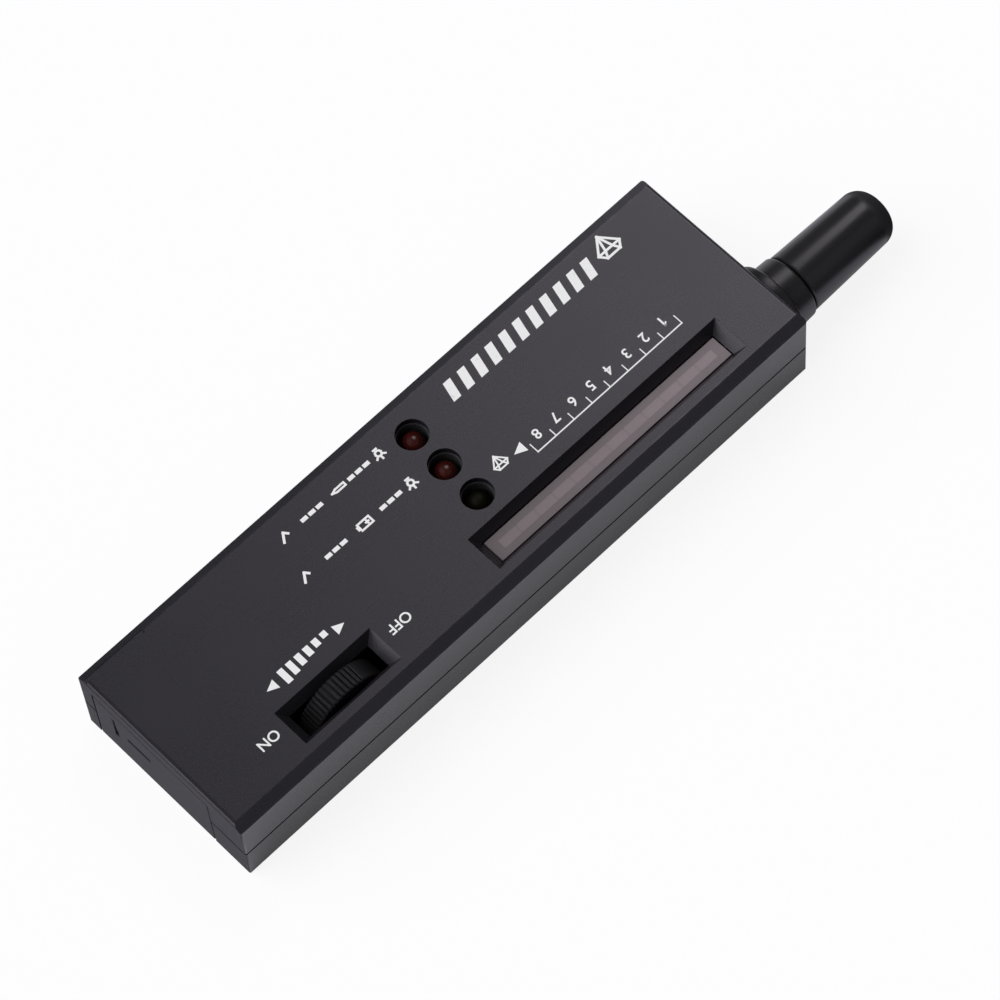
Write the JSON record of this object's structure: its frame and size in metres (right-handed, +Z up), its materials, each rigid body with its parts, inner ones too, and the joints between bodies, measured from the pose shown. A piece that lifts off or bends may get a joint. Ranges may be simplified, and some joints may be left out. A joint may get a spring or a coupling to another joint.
{
  "type": "gemstone tester",
  "caption": "Slim handheld thermal gem tester: two-shell black housing with bar display, recessed lamps, thumbwheel volume control, battery door and a sprung copper probe under a push-on cap.",
  "frame": {"origin": "centre of the housing's flat underside, on the surface that the tester lies on", "axes": "+X along the housing to the probe, +Y to the side away from the display and the wheel, +Z up through the printed face"},
  "size_m": [0.1743, 0.0434, 0.0203],
  "materials": {
    "housing": "fine textured moulded black plastic",
    "black_plastic": "moulded black plastic",
    "collar_plastic": "smooth satin black plastic",
    "foam": "soft black foam",
    "zinc_steel": "zinc plated steel",
    "bare_steel": "bare bright metal",
    "lead_sleeve": "soft plastic sleeve",
    "circuit_board": "green coated glass fibre board",
    "display_body": "grey moulded display body",
    "display_segment": "unlit pinkish diffusing segments",
    "red_lens": "unlit red resin lens",
    "green_lens": "unlit dark green resin lens",
    "brass": "turned brass",
    "pot_case": "stamped metal case",
    "resistor_body": "lacquered body",
    "capacitor_sleeve": "shrunk dark blue sleeve",
    "disc_coating": "dipped brown coating",
    "trimmer_case": "moulded blue plastic",
    "battery_case": "plain printed steel can",
    "copper": "bare copper",
    "ceramic": "white ceramic"
  },
  "bodies": {
    "housing": {"upper_shell": "housing", "lower_shell": "housing", "case_screws": "zinc_steel", "touch_plate": "bare_steel", "touch_plate_lead": "lead_sleeve", "main_board": "circuit_board", "board_screws": "zinc_steel", "bar_display": "display_body", "display_segments": "display_segment", "ready_lamp": "red_lens", "battery_lamp": "red_lens", "diamond_lamp": "green_lens", "volume_board": "circuit_board", "volume_pot": "pot_case", "pot_terminals": "brass", "volume_leads": "lead_sleeve", "buzzer": "black_plastic", "amplifier_chip": "black_plastic", "bar_driver_chip": "black_plastic", "transistors": "black_plastic", "resistors": "resistor_body", "electrolytic_capacitors": "capacitor_sleeve", "disc_capacitors": "disc_coating", "calibration_trimmers": "trimmer_case", "battery": "battery_case", "battery_terminals": "bare_steel", "battery_snap": "black_plastic", "battery_leads": "lead_sleeve", "probe_collar": "collar_plastic", "collar_nut": "bare_steel", "probe_nose": "black_plastic", "spring_plug": "ceramic", "probe_spring": "bare_steel", "probe_leads": "lead_sleeve"},
    "wheel": {"volume_wheel": "black_plastic", "wheel_rotor": "brass", "wheel_screw": "zinc_steel"},
    "door": {"battery_door": "housing", "battery_pad": "foam"},
    "tip": {"probe_tip": "copper", "heater_bead": "ceramic"},
    "cap": {"probe_cap": "collar_plastic"}
  },
  "joints": [
    {"name": "volume_turn", "type": "hinge", "parent": "housing", "child": "wheel", "pos_m": [-0.03995, -0.0135, 0.0114], "axis": [0, -1, 0], "range_deg": [0, 270]},
    {"name": "door_slide", "type": "slide", "parent": "housing", "child": "door", "axis": [-1, 0, 0], "range_m": [0, 0.06]},
    {"name": "tip_press", "type": "slide", "parent": "housing", "child": "tip", "axis": [-1, 0, 0], "range_m": [0, 0.0012], "stiffness_N_per_m": 250, "deforming": ["probe_spring"]},
    {"name": "cap_pull", "type": "slide", "parent": "housing", "child": "cap", "axis": [1, 0, 0], "range_m": [0, 0.04]}
  ]
}
